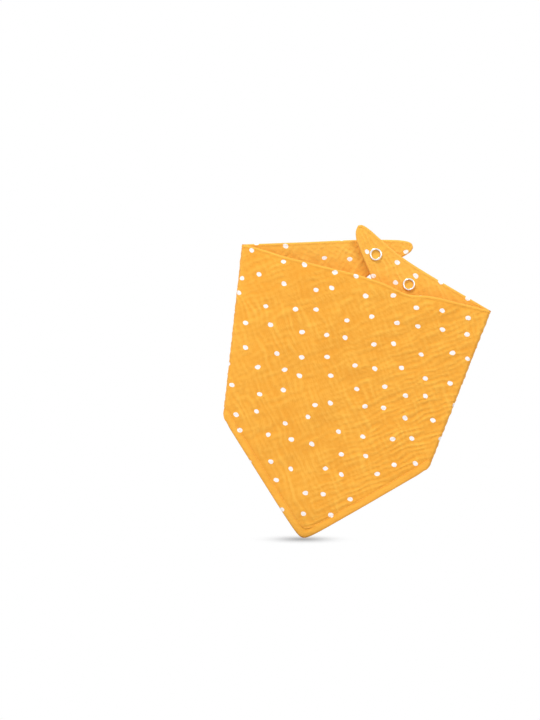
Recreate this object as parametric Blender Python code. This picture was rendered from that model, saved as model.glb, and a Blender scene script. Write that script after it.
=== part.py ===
"""A muslin bandana bib, hanging as it is worn: two straps folded behind the front panel and snapped together.

Frame, in metres: +Z points to the wearer's head, the front faces -Y, and the origin is the middle of the
neckline, in the plane of the two folds' axes. The straps swing about those axes.
"""

import math

import bmesh
import bpy
from mathutils import Matrix, Vector
from mathutils.geometry import interpolate_bezier

MM = 0.001

# Front panel, seen from the front
NECK_HALF = 97.9 * MM  # half the neckline, from the middle to a fold
LOWER_HALF = 80.6 * MM  # half the width where the lower edges meet the folds
LOWER_Z = -129.8 * MM
TIP_Z = -203.7 * MM
TIP_ROUND = 0.055  # how far the tip's rounding reaches, as a share of the lower edges' half width
NECK_DIP = 4.0 * MM  # the neckline sags a little where the spare snap shows above it
NECK_DIP_X = 34.0 * MM
NECK_DIP_WIDE = 15.0 * MM

# Layers of cloth
CLOTH = 0.6 * MM  # one double-gauze layer
INTERLINING = 0.6 * MM
GAP = 0.3 * MM  # clearance between neighbouring pieces
PANEL_DEPTH = 2 * CLOTH + INTERLINING + 2 * GAP
FOLD_RADIUS = 3.0 * MM  # from a fold's axis to the outside of the outer cloth
FOLD_REACH = FOLD_RADIUS - PANEL_DEPTH  # from a fold's axis to the lining
INTERLINING_INSET = 4.0 * MM  # the interlining stops short of the turned edges

# Form
NECK_BOW = 6.0 * MM  # how far the neckline's middle stands forward
BOW_END = 125.0 * MM  # below this depth the front panel is flat
RIGHT_RISE = 1.5 * MM  # how far the right strap stands back from its fold where it carries its snaps
RIGHT_FLAT = 54.0 * MM  # beyond this distance from its fold's axis the right strap is parallel to the front
LEFT_FLAT = 84.0 * MM
SNAP_SPACE = 3.6 * MM  # from strap to strap where the closed snap holds them

# Press snaps
SNAP_CLOSED = (2.4 * MM, 18.6 * MM)
SNAP_SPARE = (32.3 * MM, 2.5 * MM)
RING_OUTER = 4.75 * MM
RING_INNER = 3.35 * MM
RING_HEIGHT = 1.0 * MM
PRONGS = 5
PRONG_RADIUS = 4.05 * MM
PRONG_WIDTH = 1.1 * MM
PRONG_THICK = 0.4 * MM
PRONG_PAST = 0.65 * MM  # how far a prong stands out of the far side of the cloth
SOCKET_OUTER = 5.0 * MM
SOCKET_HEIGHT = 2.0 * MM
GROOVE_INNER = 3.5 * MM  # the groove that takes the prongs
GROOVE_OUTER = 4.6 * MM
GROOVE_DEPTH = 0.9 * MM
SOCKET_BORE = 2.35 * MM
SPRING_GROOVE = 2.8 * MM
SPRING_RING = 2.2 * MM
SPRING_WIRE = 0.25 * MM
STUD_HEAD = 2.0 * MM
STUD_NECK = 1.6 * MM
STUD_FLANGE = 0.7 * MM
ROUND_SEGMENTS = 24

# Stitching
THREAD = 0.4 * MM
HEM_STITCH = 5.8 * MM  # from the front's lower edges to the stitch line
STRAP_STITCH = 2.5 * MM
STRAP_THREAD_START = 0.06  # clear of the fold, as a share of the strap's edge

FRONT_GRID = (16, 9)
STRAP_GRID = (13, 4)

# Edges of the folded straps, from the fold to the strap's tip
RIGHT_NECK_EDGE = [(97.9, 0), (45.8, 13.5), (21.7, 21.8), (2.2, 31.3), (-6.6, 35.9), (-12.8, 37.9), (-15.9, 36.9)]
RIGHT_LOWER_EDGE = [(80.6, -129.8), (41.8, -64.5), (4.3, -1.0), (-10.1, 19.0), (-14.4, 25.6), (-16.5, 32.0),
                    (-15.9, 36.9)]
LEFT_NECK_EDGE = [(-97.9, 0), (-54.6, 14.2), (-14.1, 26.3), (14.0, 33.2), (23.0, 34.4), (27.4, 33.5), (29.2, 30.6)]
LEFT_LOWER_EDGE = [(-80.6, -129.8), (-38.6, -64.5), (1.4, 2.3), (22.6, 21.6), (27.8, 27.0), (29.2, 30.6)]

RIGHT_BACK = FOLD_REACH + RIGHT_RISE + PANEL_DEPTH  # back of the right strap at its snaps
LEFT_RISE = RIGHT_BACK + SNAP_SPACE - FOLD_REACH
LEAN = math.hypot(NECK_HALF - LOWER_HALF, LOWER_Z) / -LOWER_Z  # length of a fold for each unit of height
LAYERS = {  # distance of each layer's two faces from the plane of the folds
    "lining": (FOLD_REACH, FOLD_REACH + CLOTH),
    "interlining": (FOLD_REACH + CLOTH + GAP, FOLD_REACH + CLOTH + GAP + INTERLINING),
    "outer": (FOLD_RADIUS - CLOTH, FOLD_RADIUS),
}
# Where each layer is cut, as a distance inside the fold's outline. The front's outer cloth keeps the cloth of the
# bend, so the strap's starts as far on its own side of the axis.
FRONT_CUTS = {"lining": FOLD_RADIUS + GAP / 2, "interlining": FOLD_RADIUS + GAP / 2, "outer": 0.0}
STRAP_CUTS = {"lining": FOLD_RADIUS + GAP / 2, "interlining": FOLD_RADIUS + GAP / 2,
              "outer": 2 * FOLD_RADIUS + GAP}


def clear_scene():
    for obj in list(bpy.data.objects):
        bpy.data.objects.remove(obj, do_unlink=True)


def material(name, colour, roughness, metallic=0.0):
    made = bpy.data.materials.new(name)
    made.use_nodes = True
    shader = made.node_tree.nodes["Principled BSDF"]
    shader.inputs["Base Color"].default_value = (*colour, 1.0)
    shader.inputs["Roughness"].default_value = roughness
    shader.inputs["Metallic"].default_value = metallic
    return made


def add_object(name, bm, mat, pivot=None):
    """An object from a bmesh in world coordinates, with its origin on its joint's axis if it has one."""
    bmesh.ops.recalc_face_normals(bm, faces=bm.faces[:])
    mesh = bpy.data.meshes.new(name)
    bm.to_mesh(mesh)
    bm.free()
    obj = bpy.data.objects.new(name, mesh)
    bpy.context.collection.objects.link(obj)
    if mat:
        mesh.materials.append(mat)
    if pivot:
        mesh.transform(Matrix.Translation(-pivot.location))
        obj.parent = pivot
    return obj


def smoothstep(t):
    t = min(max(t, 0.0), 1.0)
    return t * t * (3.0 - 2.0 * t)


def smooth_curve(points, steps=12):
    """A dense polyline through the points, each span a Bezier with handles along its neighbours' chord."""
    points = [Vector((x, z)) * MM for x, z in points]
    line = []
    for i in range(len(points) - 1):
        before = points[max(i - 1, 0)]
        a, b = points[i], points[i + 1]
        after = points[min(i + 2, len(points) - 1)]
        span = (b - a).length
        leave = (b - before).normalized() * span / 3
        arrive = (after - a).normalized() * span / 3
        line += interpolate_bezier(a, a + leave, b - arrive, b, steps)[:-1]
    return line + [points[-1]]


def along(line, share):
    """The point at a share of the polyline's length."""
    left = share * sum((b - a).length for a, b in zip(line, line[1:]))
    for a, b in zip(line, line[1:]):
        step = (b - a).length
        if left <= step:
            return a.lerp(b, left / step)
        left -= step
    return line[-1].copy()


def fold_distance(x, z):
    """How far a point lies inside its fold's outline, towards the middle of the bib."""
    return (NECK_HALF - abs(x) + (NECK_HALF - LOWER_HALF) * z / -LOWER_Z) / LEAN


def front_point(a, b, inset=0.0):
    """A point on the front panel: a runs from the left fold, -1, to the right fold, 1, and b from the neckline down."""
    spread = math.sqrt(a * a + TIP_ROUND**2) - TIP_ROUND
    spread /= math.sqrt(1 + TIP_ROUND**2) - TIP_ROUND
    bottom_x = a * LOWER_HALF
    bottom_z = TIP_Z + spread * (LOWER_Z - TIP_Z)
    steep = math.hypot(LOWER_HALF, LOWER_Z - TIP_Z) / LOWER_HALF
    top_z = -inset - NECK_DIP * math.exp(-(((a * NECK_HALF - NECK_DIP_X) / NECK_DIP_WIDE) ** 2))
    low_z = bottom_z + inset * steep
    x = a * NECK_HALF + (bottom_x - a * NECK_HALF) * b
    return Vector((x, top_z + (low_z - top_z) * b))


def front_depth(x, z):
    """How far the front panel stands forward of the plane of the folds."""
    half = NECK_HALF + (NECK_HALF - LOWER_HALF) * z / -LOWER_Z
    across = max(0.0, 1.0 - (x / half) ** 2)
    return NECK_BOW * across * smoothstep(1.0 + z / BOW_END)


def strap_point(edges, s, t, inset=0.0):
    """A point on a folded strap: s runs from its fold to its tip, and t from its lower edge to its neck edge."""
    low, high = along(edges[0], s), along(edges[1], s)
    share = min(inset / max((high - low).length, 1e-6), 0.5)
    return low.lerp(high, share + t * (1 - 2 * share))


def cut_at_fold(point, cut):
    """Moves a point that lies past the cut along a fold back to the cut."""
    short = cut - fold_distance(point.x, point.y)
    if short > 0:
        point.x -= math.copysign(short * LEAN, point.x)
    return point


def sheet_mesh(columns, rows, point_of, near_of, far_of):
    """A closed sheet: a grid laid out by point_of(u, v), thickened between two depths."""
    bm = bmesh.new()
    bmesh.ops.create_grid(bm, x_segments=columns, y_segments=rows, size=0.5)
    for vert in bm.verts:
        flat = point_of(vert.co.x + 0.5, vert.co.y + 0.5)
        vert.co = Vector((flat.x, 0.0, flat.y))
    bmesh.ops.remove_doubles(bm, verts=bm.verts[:], dist=0.05 * MM)
    bmesh.ops.triangulate(bm, faces=bm.faces[:])
    grown = bmesh.ops.extrude_face_region(bm, geom=bm.faces[:])["geom"]
    far = {v for v in grown if isinstance(v, bmesh.types.BMVert)}
    for vert in bm.verts:
        depth = far_of if vert in far else near_of
        vert.co.y = depth(vert.co.x, vert.co.z)
    return bm


def prong_blocks(bm, centre, near, far, grow=0.0):
    """Five small blades on a circle, from one depth to another."""
    for i in range(PRONGS):
        turn = Matrix.Rotation(2 * math.pi * (i + 0.5) / PRONGS, 4, "Y")
        size = Matrix.Diagonal((PRONG_WIDTH + 2 * grow, far - near, PRONG_THICK + 2 * grow, 1.0))
        shift = Matrix.Translation((0, (near + far) / 2, PRONG_RADIUS))
        place = Matrix.Translation((centre[0], 0, centre[1]))
        bmesh.ops.create_cube(bm, size=1.0, matrix=place @ turn @ shift @ size)


def cut(obj, cutter):
    modifier = obj.modifiers.new("prong_holes", "BOOLEAN")
    modifier.operation = "DIFFERENCE"
    modifier.solver = "EXACT"
    modifier.object = cutter


def prong_cutter(name, centre, near, far):
    bm = bmesh.new()
    prong_blocks(bm, centre, near, far, grow=GAP)
    cutter = add_object(name, bm, None)
    cutter.hide_render = True
    cutter.display_type = "WIRE"
    return cutter


def turned(profile, centre, base, facing, segments=ROUND_SEGMENTS):
    """A closed profile of (radius, height) points spun about the snap's axis: height runs along Y times facing."""
    bm = bmesh.new()
    ring = [bm.verts.new((r, base + facing * h, 0)) for r, h in profile]
    edges = [bm.edges.new((a, b)) for a, b in zip(ring, ring[1:] + ring[:1])]
    bmesh.ops.spin(bm, geom=ring + edges, cent=(0, 0, 0), axis=(0, 1, 0), angle=2 * math.pi,
                   steps=segments, use_merge=True)
    bmesh.ops.remove_doubles(bm, verts=bm.verts[:], dist=0.001 * MM)
    bmesh.ops.translate(bm, verts=bm.verts[:], vec=(centre[0], 0, centre[1]))
    return bm


def smooth(obj):
    obj.data.shade_smooth()
    obj.data.set_sharp_from_angle(angle=math.radians(40))
    return obj


def prong_ring(name, centre, face, facing, mat, pivot):
    """The open ring on one side of the cloth, with blades that pass through it. facing is the way out of the cloth."""
    middle, half = (RING_OUTER + RING_INNER) / 2, (RING_OUTER - RING_INNER) / 2
    arch = [(middle + half * math.cos(math.pi * i / 6), RING_HEIGHT * (0.3 + 0.7 * math.sin(math.pi * i / 6)))
            for i in range(7)]
    profile = [(RING_OUTER, 0.0)] + arch + [(RING_INNER, 0.0)]
    ring = smooth(add_object(name, turned(profile, centre, face + facing * GAP, facing), mat, pivot))
    far = face - facing * (PANEL_DEPTH + PRONG_PAST)
    start = face + facing * (GAP + RING_HEIGHT * 0.4)
    blades = bmesh.new()
    prong_blocks(blades, centre, min(far, start), max(far, start))
    tool = add_object(name + "_blades", blades, None)
    tool.hide_render = True
    tool.display_type = "WIRE"
    joined = ring.modifiers.new("blades", "BOOLEAN")
    joined.operation = "UNION"
    joined.solver = "EXACT"
    joined.object = tool
    return ring


def socket(name, centre, face, facing, mat, pivot):
    """The female half: a flat ring with a groove over the prongs and a bore with a spring groove."""
    top = SOCKET_HEIGHT
    profile = [(SOCKET_BORE, 0), (GROOVE_INNER, 0), (GROOVE_INNER, GROOVE_DEPTH), (GROOVE_OUTER, GROOVE_DEPTH),
               (GROOVE_OUTER, 0), (SOCKET_OUTER, 0), (SOCKET_OUTER, top * 0.8), (SOCKET_OUTER * 0.94, top),
               (SOCKET_BORE, top), (SOCKET_BORE, top - GAP), (SPRING_GROOVE, top - GAP),
               (SPRING_GROOVE, 0.6 * MM), (SOCKET_BORE, 0.6 * MM)]
    return smooth(add_object(name, turned(profile, centre, face + facing * GAP, facing), mat, pivot))


def socket_spring(name, centre, face, facing, mat, pivot):
    """The split wire ring that grips the stud's neck."""
    middle = face + facing * (GAP + 0.6 * MM + (SOCKET_HEIGHT - GAP - 0.6 * MM) / 2)
    curve = bpy.data.curves.new(name, "CURVE")
    curve.dimensions = "3D"
    curve.bevel_depth = SPRING_WIRE
    curve.bevel_resolution = 1
    curve.use_fill_caps = True
    spline = curve.splines.new("POLY")
    turns = 20
    spline.points.add(turns)
    for i in range(turns + 1):
        angle = math.radians(20 + 320 * i / turns)
        spline.points[i].co = (centre[0] + SPRING_RING * math.cos(angle), middle,
                               centre[1] + SPRING_RING * math.sin(angle), 1.0)
    obj = bpy.data.objects.new(name, curve)
    bpy.context.collection.objects.link(obj)
    curve.materials.append(mat)
    curve.transform(Matrix.Translation(-pivot.location))
    obj.parent = pivot
    return obj


def stud(name, centre, face, facing, mat, pivot):
    """The male half: a flange with a groove over the prongs and a post with a bulged head."""
    reach = SNAP_SPACE - 0.45 * MM - GAP
    profile = [(0, 0.0), (GROOVE_INNER, 0), (GROOVE_INNER, 0.4 * MM), (GROOVE_OUTER, 0.4 * MM),
               (GROOVE_OUTER, 0), (SOCKET_OUTER, 0), (SOCKET_OUTER * 0.94, STUD_FLANGE),
               (STUD_NECK, STUD_FLANGE), (STUD_NECK, reach - 0.45 * MM), (STUD_HEAD, reach - 0.35 * MM),
               (STUD_HEAD, reach - 0.15 * MM), (STUD_HEAD * 0.8, reach), (0, reach)]
    return smooth(add_object(name, turned(profile, centre, face + facing * GAP, facing), mat, pivot))


def thread(name, path, mat, pivot):
    """A stitch line as one fine cord on the cloth, through the (x, y, z) points of path."""
    curve = bpy.data.curves.new(name, "CURVE")
    curve.dimensions = "3D"
    curve.bevel_depth = THREAD / 2
    curve.bevel_resolution = 0
    curve.use_fill_caps = True
    spline = curve.splines.new("POLY")
    spline.points.add(len(path) - 1)
    for point, co in zip(spline.points, path):
        point.co = (*co, 1.0)
    obj = bpy.data.objects.new(name, curve)
    bpy.context.collection.objects.link(obj)
    curve.materials.append(mat)
    if pivot:
        curve.transform(Matrix.Translation(-pivot.location))
        obj.parent = pivot
    return obj


def build_front(mats):
    for layer, (near, far) in LAYERS.items():
        inset = INTERLINING_INSET if layer == "interlining" else 0.0

        def point(u, v, inset=inset, cut=FRONT_CUTS[layer]):
            return cut_at_fold(front_point(2 * u - 1, v, inset), cut)

        bm = sheet_mesh(*FRONT_GRID, point,
                        lambda x, z, d=near: -d - front_depth(x, z),
                        lambda x, z, d=far: -d - front_depth(x, z))
        add_object("front_" + layer, bm, mats[layer])
    lift = LAYERS["outer"][1] + GAP + THREAD / 2
    path = []
    steps = 28
    for i in range(steps + 1):
        a = (2 * i / steps - 1) * 0.99
        low, inner = front_point(a, 1.0), front_point(a, 1.0, HEM_STITCH)
        flat = Vector((low.x, inner.y))
        path.append((flat.x, -lift - front_depth(flat.x, flat.y), flat.y))
    thread("front_topstitch", path, mats["thread"], None)


def strap_depth(x, z, rise, flat):
    """How far a strap stands back, growing from its fold until it runs parallel to the front."""
    return rise * smoothstep((fold_distance(x, z) - FOLD_RADIUS) / flat)


def build_strap(side_name, side, neck_edge, lower_edge, rise, flat, snaps, mats):
    """One strap. side is 1 on the right. snaps lists each snap's name, centre and which side of the cloth
    its ring is on, -1 for the inner face."""
    pivot = bpy.data.objects.new(side_name + "_strap_fold", None)
    bpy.context.collection.objects.link(pivot)
    pivot.location = (side * (NECK_HALF - FOLD_RADIUS * LEAN), 0, 0)
    edges = (smooth_curve(lower_edge), smooth_curve(neck_edge))
    cutters = [prong_cutter(f"{name}_holes", centre, FOLD_REACH + rise - 1 * MM,
                            FOLD_REACH + rise + PANEL_DEPTH + 1 * MM) for name, centre, _ in snaps]
    for layer, (near, far) in LAYERS.items():
        inner_layer = layer == "interlining"
        reach = 0.93 if inner_layer else 1.0
        inset = INTERLINING_INSET if inner_layer else 0.0

        def point(u, v, reach=reach, inset=inset, cut=STRAP_CUTS[layer]):
            # columns close up towards the tip, where the outline turns quickly
            s = reach * (1 - (1 - u) ** 1.6)
            return cut_at_fold(strap_point(edges, s, v, inset), cut)

        bm = sheet_mesh(*STRAP_GRID, point,
                        lambda x, z, d=near: d + strap_depth(x, z, rise, flat),
                        lambda x, z, d=far: d + strap_depth(x, z, rise, flat))
        obj = add_object(f"{side_name}_strap_{layer}", bm, mats[layer], pivot)
        for cutter in cutters:
            cut(obj, cutter)
    lift = LAYERS["outer"][1] + GAP + THREAD / 2
    path = []
    steps = 26
    for i in range(steps + 1):
        s = STRAP_THREAD_START + (0.956 - STRAP_THREAD_START) * i / steps
        flat_point = strap_point(edges, s, 0.0, STRAP_STITCH)
        x, z = flat_point
        path.append((x, lift + strap_depth(x, z, rise, flat), z))
    thread(side_name + "_strap_topstitch", path, mats["thread"], pivot)
    inner = FOLD_REACH + rise
    outer = inner + PANEL_DEPTH
    for name, centre, ring_side in snaps:
        ring_face, other_face = (inner, outer) if ring_side < 0 else (outer, inner)
        prong_ring(name + "_ring", centre, ring_face, ring_side, mats["chrome"], pivot)
        if ring_side < 0:
            socket(name + "_socket", centre, other_face, 1, mats["chrome"], pivot)
            socket_spring(name + "_spring", centre, other_face, 1, mats["spring"], pivot)
        else:
            stud(name + "_stud", centre, other_face, -1, mats["chrome"], pivot)


def main():
    clear_scene()
    mats = {
        "outer": material("outer_muslin", (0.956, 0.451, 0.061), 0.9),
        "lining": material("lining_muslin", (0.956, 0.451, 0.061), 0.9),
        "interlining": material("interlining_fleece", (0.87, 0.84, 0.77), 0.95),
        "thread": material("thread", (0.95, 0.48, 0.08), 0.7),
        "chrome": material("snap_chrome", (0.82, 0.82, 0.83), 0.18, 1.0),
        "spring": material("spring_steel", (0.6, 0.6, 0.61), 0.3, 1.0),
    }
    build_front(mats)
    build_strap("right", 1, RIGHT_NECK_EDGE, RIGHT_LOWER_EDGE, RIGHT_RISE, RIGHT_FLAT,
                [("closed_snap", SNAP_CLOSED, -1), ("spare_snap", SNAP_SPARE, -1)], mats)
    build_strap("left", -1, LEFT_NECK_EDGE, LEFT_LOWER_EDGE, LEFT_RISE, LEFT_FLAT,
                [("outer_snap", SNAP_CLOSED, 1)], mats)


main()
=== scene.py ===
"""A muslin bandana bib, as it is worn, with its two straps folded behind the front and snapped together.

Metres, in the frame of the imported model: +Z is up and the front faces -Y.
"""

import math

import bmesh
import bpy
import numpy as np
from mathutils import Matrix, Vector
from mathutils.geometry import interpolate_bezier


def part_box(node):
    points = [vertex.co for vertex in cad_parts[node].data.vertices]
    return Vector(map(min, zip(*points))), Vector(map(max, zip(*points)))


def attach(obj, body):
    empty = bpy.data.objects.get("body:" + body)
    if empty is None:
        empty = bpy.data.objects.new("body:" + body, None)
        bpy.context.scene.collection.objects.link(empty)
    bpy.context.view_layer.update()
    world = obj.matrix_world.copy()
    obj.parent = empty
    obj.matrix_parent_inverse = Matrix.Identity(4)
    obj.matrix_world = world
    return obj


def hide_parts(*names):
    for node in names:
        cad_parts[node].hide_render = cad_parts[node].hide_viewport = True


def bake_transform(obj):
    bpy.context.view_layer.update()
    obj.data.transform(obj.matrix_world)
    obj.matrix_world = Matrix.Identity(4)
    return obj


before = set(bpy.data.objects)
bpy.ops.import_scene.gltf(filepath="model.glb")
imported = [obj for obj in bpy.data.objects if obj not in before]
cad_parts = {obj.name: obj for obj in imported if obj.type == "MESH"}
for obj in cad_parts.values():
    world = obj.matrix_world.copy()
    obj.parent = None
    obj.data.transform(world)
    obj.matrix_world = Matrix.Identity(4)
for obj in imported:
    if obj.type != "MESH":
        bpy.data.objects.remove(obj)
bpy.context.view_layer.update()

MM = 0.001

# The front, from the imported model's own sizes
FRONT_LOW, FRONT_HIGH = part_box("front_outer")
NECK_HALF = FRONT_HIGH.x
TIP_Z = FRONT_LOW.z
LOWER_HALF = 80.6 * MM
LOWER_Z = -129.8 * MM
TIP_ROUND = 0.055
CORNER_LIFT = 3.2 * MM  # how far the folds' lower corners are rounded up
NECK_BOW = 6.0 * MM
BOW_END = 125.0 * MM

# The cloth: distances from the plane of the folds' axes
LINING_FACE = 0.6 * MM
OUTER_FACE = 3.0 * MM
MIDDLE = (LINING_FACE + OUTER_FACE) / 2
HALF_THICK = (OUTER_FACE - LINING_FACE) / 2
EDGE_LEFT = 0.12 * MM  # half the thickness left at the very edge
FLEECE = (1.5 * MM, 2.1 * MM)
FOLD_RADIUS = OUTER_FACE
BEND_LENGTH = FOLD_RADIUS * math.pi / 2  # cloth in a quarter of a fold

SLOPE = (NECK_HALF - LOWER_HALF) / -LOWER_Z
LEAN = math.hypot(1.0, SLOPE)
FOLD_OUT = np.array([1.0, -SLOPE]) / LEAN  # out of the right fold, in (x, z)

# The straps, each edge from its fold to its tip, in millimetres
RIGHT_NECK_EDGE = [(97.9, -2.2), (45.8, 13.5), (21.7, 21.8), (2.2, 31.3), (-6.6, 35.9), (-12.8, 37.9),
                   (-15.9, 36.9)]
RIGHT_LOWER_EDGE = [(80.6, -129.8), (41.8, -64.5), (4.3, -1.0), (-10.1, 19.0), (-14.4, 25.6), (-16.5, 32.0),
                    (-15.9, 36.9)]
LEFT_NECK_EDGE = [(-97.9, 1.6), (-54.6, 14.2), (-14.1, 26.3), (14.0, 33.2), (23.0, 34.4), (27.4, 33.5),
                  (29.2, 30.6)]
LEFT_LOWER_EDGE = [(-80.6, -129.8), (-38.6, -64.5), (1.4, 2.3), (22.6, 21.6), (27.8, 27.0), (29.2, 30.6)]
RIGHT_RISE, RIGHT_FLAT = 1.5 * MM, 54.0 * MM
LEFT_RISE, LEFT_FLAT = 7.5 * MM, 84.0 * MM

# Stitching
HEM_STITCH = 5.8 * MM
STRAP_STITCH = 2.6 * MM
STITCH_PITCH = 2.6 * MM
STITCH_LONG = 2.05 * MM
STITCH_THICK = 0.46 * MM
THREAD_TWIST = 0.35 * MM

# Printed dots: the two steps of their loose lattice and their sizes, in millimetres
DOT_STEP_A = (19.5, 1.5)
DOT_STEP_B = (-7.5, 16.5)
DOT_JITTER = 0.5
DOT_LONG, DOT_WIDE = 1.96, 1.56  # half the sizes of the smallest dot
LINING_SHIFT = (0.0867, 0.0461)  # the lining is cut from another place on the cloth

# The gauze: its ridges' angles in degrees, and its spacings in millimetres
LONG_RIDGES, CROSS_RIDGES = 34.0, -54.0
LONG_PITCH, CROSS_PITCH = 3.9, 4.3
WARP_PITCH, WEFT_PITCH = 0.62, 0.66
CRINKLE_MEAN = 0.46  # taken off the ridges' height, so that they stand about the plain cloth

# Seeds of the crinkles
FRONT_SEED, FRONT_LINING_SEED = 11, 47
RIGHT_SEED, LEFT_SEED, LINING_SEED_STEP = 23, 31, 100

# How finely things are cut up
NOISE_CELLS = 64
FRONT_COLUMNS, FRONT_ROWS = 150, 118
STRAP_COLUMNS, STRAP_MIDDLE_ROWS = 112, 96
FRONT_FLEECE_GRID, STRAP_FLEECE_GRID = 60, 40
BEND_STEPS = 8
TURNED_STEPS = 64
CLOTH_SHARP, METAL_SHARP = math.radians(62), math.radians(42)


def smoothstep(t):
    t = np.clip(t, 0.0, 1.0)
    return t * t * (3.0 - 2.0 * t)


def soft_noise(x, y, seed):
    """Smooth noise between about -1 and 1, with features about 1 across."""
    turns = np.random.default_rng(seed).uniform(0.0, 2.0 * math.pi, (NOISE_CELLS, NOISE_CELLS))
    x0, y0 = np.floor(x).astype(int), np.floor(y).astype(int)
    fx, fy = x - x0, y - y0
    wx = fx * fx * fx * (fx * (6.0 * fx - 15.0) + 10.0)
    wy = fy * fy * fy * (fy * (6.0 * fy - 15.0) + 10.0)
    total = 0.0
    for i in (0, 1):
        for j in (0, 1):
            turn = turns[(x0 + i) % NOISE_CELLS, (y0 + j) % NOISE_CELLS]
            weight = (wx if i else 1.0 - wx) * (wy if j else 1.0 - wy)
            total = total + weight * (np.cos(turn) * (fx - i) + np.sin(turn) * (fy - j))
    return 1.5 * total


def creases(x, y, angle, pitch, seed):
    """Long soft ridges along an angle in degrees, as crinkled gauze has, between 0 and 1."""
    run = x * math.cos(math.radians(angle)) + y * math.sin(math.radians(angle))
    over = -x * math.sin(math.radians(angle)) + y * math.cos(math.radians(angle))
    wander = 0.62 * soft_noise(run / (7.0 * pitch), over / (3.2 * pitch), seed)
    wander = wander + 0.34 * soft_noise(run / (2.6 * pitch), over / (1.6 * pitch), seed + 1)
    ridge = 0.5 + 0.5 * np.cos(2.0 * math.pi * (over / pitch + wander))
    strength = 0.62 + 0.75 * soft_noise(run / (3.6 * pitch), over / (1.5 * pitch), seed + 2)
    return ridge**1.25 * np.clip(strength, 0.06, 1.3)


def crinkle(pattern, seed):
    """Height of the crinkled gauze, in metres, over the cloth's flat pattern."""
    x, y = pattern[:, 0] / MM, pattern[:, 1] / MM
    long_ridges = creases(x, y, LONG_RIDGES, LONG_PITCH, seed)
    cross_ridges = creases(x, y, CROSS_RIDGES, CROSS_PITCH, seed + 10)
    patch = smoothstep(0.5 + 0.9 * soft_noise(x / 34.0, y / 34.0, seed + 20))
    small = soft_noise(x / 2.3, y / 2.3, seed + 30)
    height = 0.58 * long_ridges + (0.26 + 0.34 * patch) * cross_ridges + 0.14 * small
    return (height - CRINKLE_MEAN) * MM


def calm_at_snaps(flat, snaps):
    """0 under a snap's ring, 1 away from it."""
    calm = np.ones(len(flat))
    for centre in snaps:
        calm = np.minimum(calm, smoothstep((np.hypot(*(flat - centre).T) - 4.6 * MM) / (3.4 * MM)))
    return calm


def half_profile(inset):
    """Half the cloth's thickness at a distance inside a free edge, which rolls over in about a millimetre."""
    near = 1.0 - np.clip(inset / HALF_THICK, 0.0, 1.0)
    return EDGE_LEFT + (HALF_THICK - EDGE_LEFT) * np.sqrt(1.0 - near * near)


def hem_relief(inset, stitch):
    """A turned hem stands a little proud, its stitches pull a groove, and the layers puff again inside it."""
    swell = 0.16 * np.exp(-(((inset - 0.52 * stitch) / (0.33 * stitch)) ** 2))
    groove = 0.27 * np.exp(-(((inset - stitch) / (0.85 * MM)) ** 2))
    puff = 0.14 * smoothstep((inset - stitch - 0.3 * MM) / (4.0 * MM))
    return (swell - groove + puff) * MM


def neck_relief(inset):
    """The neckline's rolled edge, with a shallow pull behind it."""
    return (0.10 * np.exp(-(((inset - 1.1 * MM) / (0.7 * MM)) ** 2))
            - 0.24 * np.exp(-(((inset - 2.6 * MM) / (0.9 * MM)) ** 2))) * MM


def distance_to(points, line):
    """Distance from each (x, z) point to a polyline."""
    nearest = np.full(len(points), 1.0)
    for a, b in zip(line[:-1], line[1:]):
        step = b - a
        share = np.clip(((points - a) @ step) / max(step @ step, 1e-12), 0.0, 1.0)
        nearest = np.minimum(nearest, np.hypot(*(points - a - share[:, None] * step).T))
    return nearest


def smooth_curve(points, steps=10):
    """A dense polyline through points in millimetres, each span a Bezier along its neighbours' chord."""
    points = [Vector(p) * MM for p in points]
    line = []
    for i in range(len(points) - 1):
        before, a, b = points[max(i - 1, 0)], points[i], points[i + 1]
        after = points[min(i + 2, len(points) - 1)]
        span = (b - a).length
        leave = (b - before).normalized() * span / 3
        arrive = (after - a).normalized() * span / 3
        line += interpolate_bezier(a, a + leave, b - arrive, b, steps)[:-1]
    return np.array([tuple(p) for p in line + [points[-1]]])


def along(line, share):
    """Points at shares of a polyline's length."""
    lengths = np.concatenate([[0.0], np.cumsum(np.hypot(*np.diff(line, axis=0).T))])
    at = np.clip(share, 0.0, 1.0) * lengths[-1]
    return np.stack([np.interp(at, lengths, line[:, 0]), np.interp(at, lengths, line[:, 1])], axis=-1)


def length_of(line):
    return np.sum(np.hypot(*np.diff(line, axis=0).T))


def spaced(low_group, high_group, middle_steps):
    """Rows of a grid: a fixed distance from the first edge and a share of what the two fixed groups leave."""
    fixed = list(low_group)
    share = [0.0] * len(low_group)
    for i in range(1, middle_steps):
        fixed.append(low_group[-1])
        share.append(i / middle_steps)
    fixed += [low_group[-1] + high_group[-1] - d for d in reversed(high_group)]
    share += [1.0] * len(high_group)
    return np.array(fixed), np.array(share)


def row_share(rows, length):
    """Where each row lies between its two edges, from 0 to 1, for an edge-to-edge length."""
    fixed, share = rows
    total = fixed[-1]
    squeeze = np.minimum(1.0, length / (1.7 * total))[..., None]
    return (fixed * squeeze + share * (length[..., None] - total * squeeze)) / length[..., None]


def as_object(name, bm, finish):
    """Ends a bmesh as an object with one finish."""
    mesh = bpy.data.meshes.new(name)
    bm.to_mesh(mesh)
    bm.free()
    mesh.materials.append(finish)
    obj = bpy.data.objects.new(name, mesh)
    bpy.context.collection.objects.link(obj)
    return obj


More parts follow.
